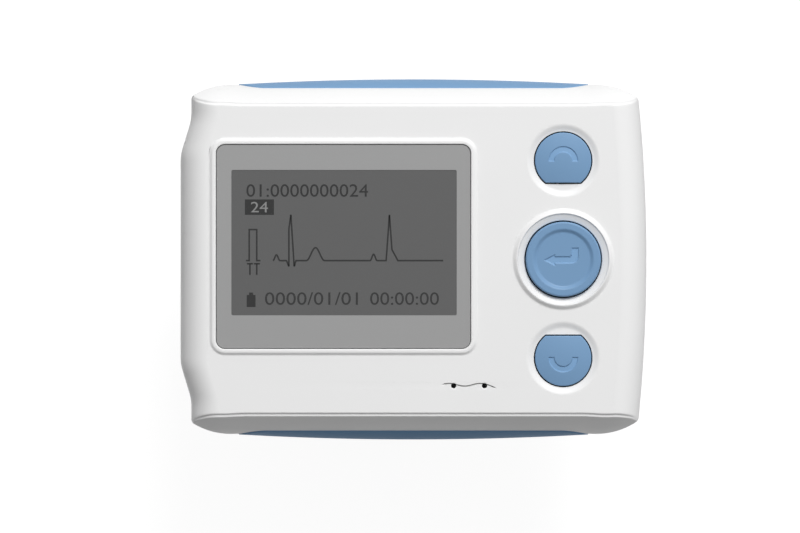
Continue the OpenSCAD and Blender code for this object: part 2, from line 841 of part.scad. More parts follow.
front_shell();
rear_shell();
top_trim();
bottom_trim();
window_lens();
lens_mask();
up_button();
enter_button();
down_button();
battery_door();
housing_screws();
board_screws();
main_board();
lcd_panel();
lcd_backlight();
lcd_frame();
lcd_ribbon();
lcd_gasket();
up_switch();
enter_switch();
down_switch();
up_plunger();
enter_plunger();
down_plunger();
switch_covers();
buzzer();
buzzer_gasket();
lead_socket_shell();
lead_socket_insert();
lead_socket_contacts();
battery();
battery_spring();
battery_plate();
main_processor();
memory_chip();
amplifier_chip();
ecg_shield();
clock_crystal();
boost_inductor();
capacitors();
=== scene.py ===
import json
import math

import bmesh
import bpy
import numpy as np
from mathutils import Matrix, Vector
from mathutils.geometry import tessellate_polygon


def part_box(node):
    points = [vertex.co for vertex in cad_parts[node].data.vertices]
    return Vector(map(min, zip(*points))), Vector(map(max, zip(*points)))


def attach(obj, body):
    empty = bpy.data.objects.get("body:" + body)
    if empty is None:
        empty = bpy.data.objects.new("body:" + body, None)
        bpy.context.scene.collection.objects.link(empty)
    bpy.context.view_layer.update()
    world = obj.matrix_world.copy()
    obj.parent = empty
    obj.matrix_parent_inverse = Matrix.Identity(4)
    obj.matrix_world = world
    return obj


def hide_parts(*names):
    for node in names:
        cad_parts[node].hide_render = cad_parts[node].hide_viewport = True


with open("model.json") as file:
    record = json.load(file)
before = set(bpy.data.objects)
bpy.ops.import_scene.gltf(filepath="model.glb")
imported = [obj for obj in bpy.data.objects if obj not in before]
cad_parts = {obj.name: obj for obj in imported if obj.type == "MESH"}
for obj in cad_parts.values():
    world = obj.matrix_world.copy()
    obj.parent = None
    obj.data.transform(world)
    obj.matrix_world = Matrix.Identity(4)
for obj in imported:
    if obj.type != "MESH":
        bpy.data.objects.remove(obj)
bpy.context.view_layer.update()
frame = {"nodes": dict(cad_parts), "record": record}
mm = 0.001
print("frame loaded")


# camera and studio

camera = {
    "distance": 700 * mm,
    "midPlane": 10.85 * mm,
    "frameWidth": 134.2 * mm,      # what the picture spans at the mid plane
    "aim": (-2.26 * mm, -1.19 * mm),
    "sensor": 36.0,                # millimetres
}
studio = {
    "keyFrom": (0.18, 0.65, 0.735),
    "keyDistance": 1.1,
    "keySize": 0.42,
    "keyLevel": 0.755,
    "skyLevel": 0.455,
    "skyLean": (0.42, 0.62, 0.0),
    "floorSize": 6.0,
    "floorDrop": 0.032,            # leaves room for the open door
    "floorGlow": 0.88,
}


def makeCamera():
    data = bpy.data.cameras.new("camera")
    data.sensor_width = camera["sensor"]
    data.lens = camera["sensor"] * camera["distance"] / camera["frameWidth"]
    data.clip_start, data.clip_end = 0.01, 20
    view = bpy.data.objects.new("camera", data)
    bpy.context.scene.collection.objects.link(view)
    view.location = (*camera["aim"], camera["midPlane"] + camera["distance"])      # square to the face
    bpy.context.scene.camera = view


makeCamera()
bpy.context.scene.view_settings.view_transform = "Standard"


# node tools

class Wire:
    # one output socket; arithmetic on it adds Math nodes
    def __init__(self, finish, socket):
        self.finish, self.socket = finish, socket

    def math(self, operation, *others):
        return self.finish.node("ShaderNodeMath", {"operation": operation}, [self, *others])

    def __add__(self, other):
        return self.math("ADD", other)

    def __sub__(self, other):
        return self.math("SUBTRACT", other)

    def __mul__(self, other):
        return self.math("MULTIPLY", other)

    def __truediv__(self, other):
        return self.math("DIVIDE", other)

    def __pow__(self, other):
        return self.math("POWER", other)

    def __rsub__(self, other):
        return self.finish.node("ShaderNodeMath", {"operation": "SUBTRACT"}, [other, self])

    __radd__ = __add__
    __rmul__ = __mul__

    def below(self, limit):
        return self.math("LESS_THAN", limit)

    def above(self, limit):
        return self.math("GREATER_THAN", limit)

    def size(self):
        return self.math("ABSOLUTE")

    def least(self, other):
        return self.math("MINIMUM", other)

    def most(self, other):
        return self.math("MAXIMUM", other)


class Finish:
    # a material, or the world, under construction
    def __init__(self, name, world=False):
        self.block = (bpy.data.worlds if world else bpy.data.materials).new(name)
        self.block.use_nodes = True
        self.tree = self.block.node_tree
        self.tree.nodes.clear()
        self.output = self.tree.nodes.new("ShaderNodeOutputWorld" if world else "ShaderNodeOutputMaterial")

    def node(self, kind, settings=None, inputs=(), output=0):
        made = self.tree.nodes.new(kind)
        for key, value in (settings or {}).items():
            setattr(made, key, value)
        pairs = inputs.items() if isinstance(inputs, dict) else enumerate(inputs)
        for key, value in pairs:
            socket = made.inputs[key]
            if isinstance(value, Wire):
                self.tree.links.new(value.socket, socket)
            else:
                socket.default_value = value
        return Wire(self, made.outputs[output])

    def place(self):
        return self.node("ShaderNodeTexCoord", output="Object")

    def axes(self):
        parts = self.node("ShaderNodeSeparateXYZ", inputs=[self.place()]).socket.node
        return [Wire(self, out) for out in parts.outputs]

    def noise(self, scale, detail=2.0, stretch=(1, 1, 1), output="Fac"):
        moved = self.node("ShaderNodeMapping", inputs={"Vector": self.place(), "Scale": stretch})
        return self.node("ShaderNodeTexNoise", {}, {"Vector": moved, "Scale": scale, "Detail": detail},
                         output)

    def mix(self, mask, low, high):
        # colour mix; low and high are colours or wires. Sockets 6 and 7 and output 2 are the coloured ones
        low, high = [v if isinstance(v, Wire) else (*v[:3], 1) for v in (low, high)]
        return self.node("ShaderNodeMix", {"data_type": "RGBA"}, {0: mask, 6: low, 7: high}, 2)

    def bump(self, height, strength, distance, edge=None):
        inputs = {"Height": height, "Strength": strength, "Distance": distance}
        if edge:
            inputs["Normal"] = self.node("ShaderNodeBevel", {"samples": 6}, {"Radius": edge})
        return self.node("ShaderNodeBump", {}, inputs)

    def show(self, shader):
        self.tree.links.new(shader.socket, self.output.inputs["Surface"])
        return self.block

    def principled(self, **inputs):
        named = {key.replace("_", " "): value for key, value in inputs.items()}
        return self.show(self.node("ShaderNodeBsdfPrincipled", {}, named))


def linear(*srgb):
    # display values 0-255 to scene-linear
    part = [v / 255 for v in srgb]
    return tuple(v / 12.92 if v <= 0.04045 else ((v + 0.055) / 1.055) ** 2.4 for v in part)


def shade(colour, factor):
    return tuple(min(c * factor, 1) for c in colour)


# finishes

wavyLine = {  # millimetres, on the face
    "y": -20.79, "swing": 0.22, "crestX": 5.85, "wave": 5.14, "from": 4.6, "to": 13.7, "droopFrom": 12.1,
    "droop": 0.14, "half": 0.17, "depth": 0.22, "fade": 0.6, "top": 21.6,
}


def wavyGroove(f):
    # depth share of a fine V groove along y = middle + swing * cos(x), which droops at its right end
    # with the square of the distance and fades out at both ends
    g = wavyLine
    x, y, z = f.axes()
    line = ((x - g["crestX"] * mm) * (2 * math.pi / (g["wave"] * mm))).math("COSINE") * (g["swing"] * mm)
    past = (x - g["droopFrom"] * mm).most(0.0)
    line = line + g["y"] * mm - past * past * (g["droop"] / mm)
    share = (1 - (y - line).size() / (g["half"] * mm)).most(0.0)
    ends = (x - g["from"] * mm).least(g["to"] * mm - x) / (g["fade"] * mm)
    return share * ends.most(0.0).least(1.0) * z.above(g["top"] * mm)


def mouldedPlastic(name, colour, rough, grain, edge, mottle=0.012, signs=None, shine=0.5, grooveWithPaintedShade=False):
    # a moulded face: sparkle grain, faint flow mottle and handled, slightly smoother patches; where
    # signs is given, the attribute of that name marks an engraved sign, which is a little paler
    f = Finish(name)
    cloud = f.noise(60, 3)
    fine = f.noise(grain, 2)
    tint = f.mix(cloud, shade(colour, 1 - mottle), shade(colour, 1 + mottle))
    if signs:
        cut = f.node("ShaderNodeAttribute", {"attribute_name": signs}, output="Fac")
        tint = f.mix(cut, tint, shade(colour, 1.16))
    gloss = rough - 0.05 + 0.1 * f.noise(140, 3)
    normal = f.bump(fine, 0.16, 0.03 * mm, edge)
    if grooveWithPaintedShade:
        share = wavyGroove(f)
        # painted shade: inside the wavy groove the colour darkens towards 0.35 of the plastic's, standing in
        # for the shade in the groove; the bump below cuts its real depth
        tint = f.mix(share * 0.6, tint, shade(colour, 0.35))
        normal = f.node("ShaderNodeBump", {}, {"Height": 1 - share, "Strength": 1.0,
                                               "Distance": wavyLine["depth"] * mm, "Normal": normal})
    return f.principled(Base_Color=tint, Roughness=gloss, Normal=normal, Specular_IOR_Level=shine)


def clearWindow(name):
    # hard-coated acrylic: nearly invisible from the front and mirror-like at a low angle, with faint
    # wiping marks in the gloss
    f = Finish(name)
    facing = f.node("ShaderNodeLayerWeight", {}, {"Blend": 0.25}, "Facing")
    smear = f.noise(90, 4, (1, 2.5, 1))
    return f.principled(Base_Color=(0.4, 0.41, 0.42, 1), Roughness=0.07 + 0.08 * smear,
                        Alpha=(0.03 + 0.75 * (facing ** 3)).least(1.0))


def printedFilm(name, colour, rough=0.45):
    # an even print with a very fine screen of paler and darker dots
    f = Finish(name)
    dots = f.noise(4000, 1)
    tint = f.mix(dots, shade(colour, 0.98), shade(colour, 1.02))
    return f.principled(Base_Color=tint, Roughness=rough + 0.05 * f.noise(200))


def metalPlate(name, colour, rough):
    # rolled or plated metal with fine lines along x and cloudy patches
    f = Finish(name)
    line = f.noise(900, 3, (1, 12, 1))
    tint = f.mix(f.noise(200, 3), shade(colour, 0.92), colour)
    return f.principled(Base_Color=tint, Metallic=1.0, Roughness=rough - 0.06 + 0.14 * line,
                        Normal=f.bump(line, 0.12, 0.02 * mm))


def solderMask(name):
    # green mask over copper tracks that run along and across, with tinned pads in a loose grid
    f = Finish(name)
    x, y, z = f.axes()
    wander = 0.0006 * f.noise(120, 1)
    along = (((y + wander) * 900).math("FRACT") - 0.5).size().below(0.22)
    across = (((x - wander) * 760).math("FRACT") - 0.5).size().below(0.2)
    zone = f.noise(70, 0).above(0.5)
    tracks = along * zone + across * (1 - zone)
    cell = f.node("ShaderNodeTexVoronoi", {}, {"Vector": f.place(), "Scale": 420.0}, "Distance")
    pads = cell.below(0.13)
    green = f.mix(tracks, (0.008, 0.075, 0.03), (0.015, 0.14, 0.055))
    tint = f.mix(pads, green, (0.6, 0.6, 0.58))
    return f.principled(Base_Color=tint, Metallic=pads * 0.8, Roughness=0.32 + 0.1 * f.noise(300),
                        Normal=f.bump(tracks + pads, 0.25, 0.03 * mm))


def foam(name):
    # open cells whose hollow middles are sunk by the bump and darkened with painted shade
    f = Finish(name)
    cellDepthAndShade = f.node("ShaderNodeTexVoronoi", {}, {"Vector": f.place(), "Scale": 3200.0}, "Distance")
    tint = f.mix(cellDepthAndShade, (0.02, 0.02, 0.021), (0.075, 0.075, 0.078))
    return f.principled(Base_Color=tint, Roughness=0.95, Normal=f.bump(cellDepthAndShade, 0.6, 0.1 * mm))


def flexFilm(name):
    # amber film with copper lines that run along y
    f = Finish(name)
    x = f.axes()[0]
    tracks = ((x * 1500).math("FRACT") - 0.5).size().below(0.26)
    tint = f.mix(tracks, (0.36, 0.15, 0.03), (0.62, 0.3, 0.09))
    return f.principled(Base_Color=tint, Roughness=0.25 + 0.1 * f.noise(500),
                        Normal=f.bump(tracks, 0.3, 0.03 * mm))


def cellSleeve(name):
    # shrink sleeve of a plain cell: dark body, a warm band towards one end, bare metal at the ends
    f = Finish(name)
    x = f.axes()[0]
    band = x.above(11.5 * mm)
    body = f.mix(band, (0.012, 0.013, 0.016), (0.42, 0.2, 0.07))
    bare = x.above(22.8 * mm).most(x.below(-19.85 * mm))
    tint = f.mix(bare, body, (0.62, 0.62, 0.63))
    shrink = f.noise(260, 3, (1, 4, 4))
    return f.principled(Base_Color=tint, Metallic=bare, Roughness=0.24 + 0.12 * shrink,
                        Normal=f.bump(shrink, 0.15, 0.1 * mm))


def chipPlastic(name, colour):
    # a dull, finely grained body
    f = Finish(name)
    fine = f.noise(5200, 2)
    tint = f.mix(f.noise(300, 2), shade(colour, 0.85), colour)
    return f.principled(Base_Color=tint, Roughness=0.5 + 0.1 * f.noise(600),
                        Normal=f.bump(fine, 0.4, 0.03 * mm))


white = linear(232, 232, 232)
blue = linear(115, 151, 187)
finishes = {
    "white_case": mouldedPlastic("whiteCase", white, 0.46, 5200, 0.22 * mm),
    "white_front": mouldedPlastic("whiteFront", white, 0.46, 5200, 0.12 * mm, grooveWithPaintedShade=True),
    "blue_rubbery": mouldedPlastic("blueMoulding", blue, 0.5, 6000, None, 0.02, shine=0.06),
    "button_blue": mouldedPlastic("blueButtons", blue, 0.42, 6000, None, 0.015, "sign", 0.3),
    "window_clear": clearWindow("clearWindow"),
    "mask_grey": printedFilm("greyMask", linear(154, 154, 154)),
    "lcd_glass": printedFilm("displayGrey", linear(91, 91, 91), 0.3),
    "backlight_white": printedFilm("backlightDiffuser", (0.8, 0.8, 0.78)),
    "black_plastic": chipPlastic("blackMoulding", (0.02, 0.02, 0.022)),
    "flex_amber": flexFilm("amberFlex"),
    "foam_grey": foam("greyFoam"),
    "board_green": solderMask("greenBoard"),
    "steel": metalPlate("platedSteel", (0.62, 0.62, 0.63), 0.3),
    "gold": metalPlate("goldPlating", (0.78, 0.52, 0.2), 0.25),
    "cell_wrap": cellSleeve("cellSleeve"),
    "ferrite": chipPlastic("ferrite", (0.06, 0.06, 0.065)),
    "ceramic_tan": chipPlastic("ceramicTan", (0.42, 0.31, 0.2)),
    "plunger_white": mouldedPlastic("nylonWhite", (0.75, 0.75, 0.72), 0.5, 5000, 0.1 * mm),
}
slotOf = {part["node"]: part["material_slot"] for part in frame["record"]["subparts"]}
for nodeName, piece in frame["nodes"].items():
    piece.data.materials.clear()
    piece.data.materials.append(finishes[slotOf[nodeName]])
print("finishes made")


# the picture on the display

screen = {
    "scale": 0.1654 * mm,           # one photo pixel at the display's depth
    "centre": (413.5, 259.4),       # the part's centre in those pixels
    "filmDepth": 0.12 * mm,         # below the window's face, under its hard coat
    "inkLift": 0.015 * mm,
    "ink": linear(26, 26, 26),
    "faint": linear(36, 36, 36),
    "pale": linear(132, 132, 132),
}
baseline = 260.7
drawing = {  # photo pixels
    "lineWidth": 1.6,
    # each number: words, left end, foot, height and right end
    "boxNumber": ("24", 251, 212.5, 10.5, 268),
    "topNumber": ("01:0000000024", 246.5, 197, 12.6, 368),
    "dateNumber": ("0000/01/01", 265, 304.9, 12.6, 357.8),
    "timeNumber": ("00:00:00", 370, 304.9, 12.6, 438.7),
    "box": [(245, 199.6), (274, 199.6), (274, 215), (245, 215)],
    # the trace: points, and humps given as left end, right end and peak
    "trace": [(273, baseline), (273, 280, 255), (286.5, baseline), (288.9, 266.5), (288.9, 229),
              (290.9, 215), (294.2, 266.5), (296, baseline), (306.4, baseline), (306.4, 324.5, 247.7),
              (370, baseline), (370, 377, 254.4), (386, baseline), (389.3, 215), (391.8, 249.7),
              (397.7, baseline), (443, baseline)],
    "leadMark": [[(246, baseline), (249.3, baseline), (249.3, 229.7), (256.8, 229.7), (256.8, baseline),
                  (260.5, baseline)],
                 [(247, 263.8), (253, 263.8)], [(250, 263.8), (250, 275)],
                 [(254, 263.8), (260, 263.8)], [(256.8, 263.8), (256.8, 275)]],
    "cell": [(246.8, 307), (246.8, 295), (249.2, 295), (249.2, 292.6), (253.2, 292.6), (253.2, 295),
             (255.6, 295), (255.6, 307)],
}


def screenPoint(px, py):
    cx, cy = screen["centre"]
    return np.stack([(np.asarray(px, float) - cx) * screen["scale"],
                     (cy - np.asarray(py, float)) * screen["scale"]], axis=-1)


def addPiece(name, mesh, material, body="housing"):
    mesh.materials.clear()
    mesh.materials.append(material)
    mesh.update()
    piece = bpy.data.objects.new(name, mesh)
    bpy.context.scene.collection.objects.link(piece)
    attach(piece, body)
    return piece


def addMesh(name, points, faces, material, body="housing"):
    mesh = bpy.data.meshes.new(name)
    mesh.from_pydata(points.reshape(-1, 3).tolist(), [], faces)
    return addPiece(name, mesh, material, body)


def strokes(lines, width):
    # each polyline becomes a ribbon: its points moved half a width along the mitred normal, both ways;
    # a turn sharper than a right angle ends one ribbon and starts the next
    points, faces, parts, start = [], [], [], 0
    for line in lines:
        path = np.asarray(line, float)
        way = np.diff(path, axis=0)
        sharp = np.flatnonzero((way[1:] * way[:-1]).sum(axis=1) < 0) + 1
        ends = [0, *sharp.tolist(), len(path) - 1]
        parts += [path[a:b + 1] for a, b in zip(ends[:-1], ends[1:])]
    for path in parts:
        step = np.diff(path, axis=0)
        step /= np.linalg.norm(step, axis=1)[:, None]
        side = np.stack([-step[:, 1], step[:, 0]], axis=1)
        before, after = np.vstack([side[:1], side]), np.vstack([side, side[-1:]])
        mitre = before + after
        mitre /= np.maximum((mitre * before).sum(axis=1), 0.35)[:, None]
        points.append(np.stack([path + mitre * width / 2, path - mitre * width / 2], axis=1).reshape(-1, 2))
        first = start + 2 * np.arange(len(path) - 1)
        faces += np.stack([first, first + 1, first + 3, first + 2], axis=1).tolist()
        start += 2 * len(path)
    return np.vstack(points), faces


def hump(x0, x1, peak):
    # one wave of a cosine, raised to stand on the baseline
    t = np.linspace(0, 1, 14)
    rise = (baseline - peak) * 0.5 * (1 - np.cos(2 * math.pi * t))
    return np.stack([x0 + (x1 - x0) * t, baseline - rise], axis=1)


def inkPiece(name, pixelPoints, faces, material):
    flat = screenPoint(pixelPoints[:, 0], pixelPoints[:, 1])
    level = filmLevel + screen["inkLift"]
    points = np.column_stack([flat, np.full(len(flat), level)])
    addMesh(name, points, [face[::-1] for face in faces], material)


def numberPiece(name, spec, material):
    # text turned into a mesh, scaled to its height and stretched to the width it fills
    words, x0, y1, tall, x1 = spec
    curve = bpy.data.curves.new(name, "FONT")
    curve.body, curve.resolution_u = words, 4
    holder = bpy.data.objects.new(name + "Text", curve)
    bpy.context.scene.collection.objects.link(holder)
    bpy.context.view_layer.update()
    mesh = bpy.data.meshes.new_from_object(holder)
    bpy.data.objects.remove(holder)
    raw = np.empty(len(mesh.vertices) * 3)
    mesh.vertices.foreach_get("co", raw)
    raw = raw.reshape(-1, 3)
    low, high = raw.min(axis=0), raw.max(axis=0)
    unit = (raw - low) / np.maximum(high - low, 1e-9)
    flat = screenPoint(x0 + unit[:, 0] * (x1 - x0), y1 - unit[:, 1] * tall)
    level = filmLevel + screen["inkLift"] * 2
    mesh.vertices.foreach_set("co", np.column_stack([flat, np.full(len(flat), level)]).ravel())
    addPiece(name, mesh, material)


pictureWindow = {"x": -11.5, "y": 2.75, "w": 37.2, "h": 24.0, "r": 0.25}      # millimetres
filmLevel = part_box("window_lens")[1].z - screen["filmDepth"]


def dressDisplay():
    # the reflective film fills the opening of the printed mask
    w = pictureWindow
    across, up = np.meshgrid(np.linspace(-1, 1, 25), np.linspace(-1, 1, 17))
    film = np.stack([w["x"] * mm + across * w["w"] / 2 * mm, w["y"] * mm + up * w["h"] / 2 * mm,
                     np.full(across.shape, filmLevel)], axis=-1)
    rows, columns = across.shape
    j, i = np.meshgrid(np.arange(rows - 1), np.arange(columns - 1), indexing="ij")
    corner = (j * columns + i).ravel()
    faces = np.stack([corner, corner + 1, corner + columns + 1, corner + columns], axis=1).tolist()
    addMesh("display_film", film, faces, finishes["lcd_glass"])
    ink = printedFilm("displayInk", screen["ink"], 0.4)
    faint = printedFilm("displayFaintInk", screen["faint"], 0.4)
    pale = printedFilm("displayPaleInk", screen["pale"], 0.4)
    d = drawing
    trace = np.vstack([hump(*part) if len(part) == 3 else [part] for part in d["trace"]])
    moved = np.linalg.norm(np.diff(trace, axis=0), axis=1) > 1e-6
    trace = trace[np.insert(moved, 0, True)]
    inkPiece("heart_trace", *strokes([trace, *d["leadMark"]], d["lineWidth"]), ink)
    for name, outline in (("cell_mark", d["cell"]), ("lead_box", d["box"])):
        inkPiece(name, np.array(outline), [tuple(range(len(outline)))], ink)
    numberPiece("lead_number", d["boxNumber"], pale)
    numberPiece("top_number", d["topNumber"], ink)
    numberPiece("date_number", d["dateNumber"], faint)
    numberPiece("time_number", d["timeNumber"], faint)


dressDisplay()
print("display dressed")


# front half of the case

frontCase = {  # millimetres
    "depth": 21.7,
    "edge": 4.6,            # rounds the left and right sides into the face
    "baseX": 37.2,          # the left side beside the bulge
    "bulge": 1.8,
    "bulgeFlat": 17.5,      # half length of the bulge's full part, and the run of its slopes
    "bulgeRun": 5.9,
    "bulgeSoft": 0.35,
    "halfWidth": 39.0,
    "sideR": 270.0,         # bows the right side
    "bevelY": 10.5,         # axis and radius of the curved upper and lower sides
    "bevelR": 18.7,
    "draft": 0.4,           # how much narrower the sides are where they meet the rounded edge
    "cornerX": 30.0,
    "cornerY": 17.25,
    "cornerR": 12.0,
    "cornerShare": 0.46,    # how much of the corner's plan drop the curved sides follow
    "cornerPush": 0.36,     # how far the curved sides swell out towards the corners
    "pushFrom": 27.5,
    "pushRun": 7.5,
    "faceY": 25.35,
    "step": 0.3,            # the small step's depth; it runs out near the left and right sides
    "stepEnd": 1.6,
    "stepRun": 2.5,
    "lip": 0.31,            # how far inside the curved sides the small step runs
    "crease": 0.12,
    "stepCrease": 0.1,
    "wall": 1.8,
    "coreX": 26.0,          # the rounded rectangle from which the case's columns start
    "coreY": 14.0,
    "coreR": 2.0,
    "flatInset": 0.14,
    "turnShare": 2.4,       # millimetres of column that one radian of turning is worth, up to turnMost
    "turnMost": 0.5,
    "seam": 0.12,           # half width of the groove along the parting line
    "seamRows": [(0.05, 0.05), (0.12, 0.09), (0.3, 0.1)],       # its points, inwards and down
    "socketHalf": 4.5,
    "socketTop": 14.3,
    "socketR": 0.9,
}
half = frontCase["depth"] / 2


def smoothMax(a, b, k):
    # the larger of two, rounded over where they are within k of each other
    near = np.maximum(k - np.abs(a - b), 0) / k
    return np.maximum(a, b) + near * near * k / 4


def leftReach(y):
    # the bulge stands out fully up to bulgeFlat, then slopes back in a straight run with soft ends
    c = frontCase
    slope = c["bulge"] * (np.abs(y) - c["bulgeFlat"]) / c["bulgeRun"]
    sunk = smoothMax(slope, 0, c["bulgeSoft"])
    sunk = -smoothMax(-sunk, -c["bulge"], c["bulgeSoft"])
    return c["baseX"] + c["bulge"] - sunk


def sideGap(x, y):
    # distance outside the nearer of the left side and the bowed right side, negative inside
    rightReach = frontCase["halfWidth"] - y * y / (2 * frontCase["sideR"])
    return np.maximum(x - rightReach, -x - leftReach(y))


def smoothStep(t):
    t = np.clip(t, 0, 1)
    return t * t * (3 - 2 * t)


def bodyGap(x, y, z):
    # the case as the smooth maximum of a slab with rounded left and right edges, the two curved
    # sides as cylinders about bevelY that swell a little towards the corners, and four corner
    # cylinders; then the small step of the face
    c = frontCase
    straight = half - c["edge"]
    out = sideGap(x, y) + c["edge"] + c["draft"] * np.minimum(np.abs(z - half) / straight, 1) ** 2
    up = np.abs(z - half) - straight
    slab = np.hypot(np.maximum(out, 0), np.maximum(up, 0)) + np.minimum(np.maximum(out, up), 0) - c["edge"]
    corner = np.minimum(np.maximum(np.abs(x) - c["cornerX"], 0), c["cornerR"] * 0.98)
    drop = c["cornerR"] - np.sqrt(c["cornerR"] ** 2 - corner ** 2)
    swell = c["cornerPush"] * smoothStep((np.abs(x) - c["pushFrom"]) / c["pushRun"])
    reach = np.abs(y) + c["cornerShare"] * drop - swell - c["bevelY"]
    sides = np.hypot(np.maximum(reach, 0), z - half) - c["bevelR"]
    past = np.maximum(np.abs(x) - c["cornerX"], 0), np.maximum(np.abs(y) - c["cornerY"], 0)
    plan = np.hypot(*past) - c["cornerR"]
    gap = smoothMax(smoothMax(slab, sides, c["crease"]), plan, c["crease"])
    step = c["step"] * np.clip((c["halfWidth"] - c["stepEnd"] - np.abs(x)) / c["stepRun"], 0, 1)
    ledge = -smoothMax(-sides - c["lip"], -slab - step, c["stepCrease"])
    return smoothMax(gap, ledge, c["stepCrease"])


def coreLoop():
    # starting points and outward directions round a rounded rectangle, closest together at the
    # corners, where the creases of the case run outwards
    c = frontCase
    hx, hy, r = c["coreX"] - c["coreR"], c["coreY"] - c["coreR"], c["coreR"]
    t = np.linspace(0, 1, 97)[:-1]
    fan = 90 * (t + 0.1 * np.sin(2 * math.pi * t))
    spots, ways = [], []
    straights = [((hx + r, -hy), (hx + r, hy), 40), ((hx, hy + r), (-hx, hy + r), 60),
                 ((-hx - r, hy), (-hx - r, -hy), 96), ((-hx, -hy - r), (hx, -hy - r), 60)]
    centres = [(hx, hy), (-hx, hy), (-hx, -hy), (hx, -hy)]
    for turn, ((start, end, count), centre) in enumerate(zip(straights, centres)):
        s = np.linspace(0, 1, count + 1)[:-1, None]
        spots.append(np.array(start) * (1 - s) + np.array(end) * s)
        way = (math.cos(turn * math.pi / 2), math.sin(turn * math.pi / 2))
        ways.append(np.tile(way, (count, 1)))
        a = np.radians(fan + 90 * turn)
        arc = np.stack([np.cos(a), np.sin(a)], axis=1)
        spots.append(np.array(centre) + r * arc)
        ways.append(arc)
    return np.vstack(spots), np.vstack(ways)


def farthestInside(test, count, reach):
    # bisection: the largest distance for which the test still says inside
    low, high = np.zeros(count), np.full(count, float(reach))
    for _ in range(28):
        mid = (low + high) / 2
        inside = test(mid) < 0
        low, high = np.where(inside, mid, low), np.where(inside, high, mid)
    return low


def sideSection(spots, ways, inset, samples, top):
    # one column of points per direction, from the flat of the face down to the parting line. Rays
    # leave the core at angles from steep to level and stop where bodyGap is -inset; the points are
    # then spread so that length and turning both get their share
    c = frontCase
    n, dense = len(spots), 700

    def flat(distance):
        x, y = (spots + ways * distance[:, None]).T
        return np.maximum(sideGap(x, y) + c["edge"] + c["draft"], np.abs(y) - c["faceY"]) + c["flatInset"]

    # the inner skin's flat ends sooner, so that its columns keep clear of the rounding
    rim = farthestInside(flat, n, 30) * (0.98 if inset else 1) - inset * 0.9
    steep = np.arctan2(top - half, rim)
    lift = steep[:, None] * np.linspace(1, 0, dense)[None, :]
    ox, oy = spots[:, :1], spots[:, 1:]
    wx, wy = ways[:, :1], ways[:, 1:]

    def gap(distance):
        d = distance.reshape(lift.shape)
        level = d * np.cos(lift)
        return (bodyGap(ox + wx * level, oy + wy * level, half + d * np.sin(lift)) + inset).ravel()

    d = farthestInside(gap, lift.size, 40).reshape(lift.shape)
    level = d * np.cos(lift)
    points = np.stack([ox + wx * level, oy + wy * level, half + d * np.sin(lift)], axis=-1)
    points[:, 0, 2] = top
    # the socket's mouth lifts the lower end of the columns that cross it
    y = points[:, -1, 1]
    over = np.clip(np.abs(y) - (c["socketHalf"] - c["socketR"]), 0, c["socketR"])
    mouth = c["socketTop"] - c["socketR"] + np.sqrt(np.maximum(c["socketR"] ** 2 - over ** 2, 0))
    crosses = (points[:, -1, 0] < 0) & (np.abs(y) < c["socketHalf"])
    end = np.where(crosses, mouth, half + c["seam"])
    step = np.linalg.norm(np.diff(points, axis=1), axis=2)
    way = np.diff(points, axis=1) / np.maximum(step, 1e-9)[..., None]
    bend = np.arccos(np.clip((way[:, 1:] * way[:, :-1]).sum(axis=2), -1, 1))
    share = step.copy()
    share[:, 1:] += c["turnShare"] * np.minimum(bend, c["turnMost"])
    share = np.cumsum(np.pad(share, ((0, 0), (1, 0))), axis=1)
    out = np.empty((n, samples, 3))
    u = np.linspace(0, 1, samples)
    for i in range(n):
        last = np.interp(-end[i], -points[i, :, 2], share[i])
        for axis in range(3):
            out[i, :, axis] = np.interp(u * last, share[i], points[i, :, axis])
    return out


def roundedLoop(w, h, r, x, y, count=10):
    # a rectangle with arcs at its corners; returns the points of the inner arcs' centres and the
    # outward directions, so that any offset is centre + direction * (r + offset)
    centres, ways = [], []
    for turn, (sx, sy) in enumerate([(1, 1), (-1, 1), (-1, -1), (1, -1)]):
        a = np.radians(np.linspace(0, 90, count) + 90 * turn)
        ways.append(np.stack([np.cos(a), np.sin(a)], axis=1))
        centres.append(np.tile([x + sx * (w / 2 - r), y + sy * (h / 2 - r)], (count, 1)))
    return np.vstack(centres), np.vstack(ways)


def flattenedCircle(radius, flat, side, count=96):
    # points round a circle whose lower (side 1) or upper (side -1) part is cut straight, and the
    # directions in which they lie
    a = 2 * math.pi * np.arange(count) / count
    cut = math.asin(flat / radius)
    marks = np.array([cut - math.pi, -cut]) % (2 * math.pi)
    a = np.sort(np.concatenate([a, marks]))
    way = np.stack([np.cos(a), np.sin(a)], axis=1)
    reach = np.where(way[:, 1] * radius < -flat, flat / np.maximum(-way[:, 1], 1e-6), radius)
    ring = way * reach[:, None]
    ring[:, 1] *= side
    way[:, 1] *= side
    if side < 0:
        ring, way = ring[::-1], way[::-1]
    return ring, way


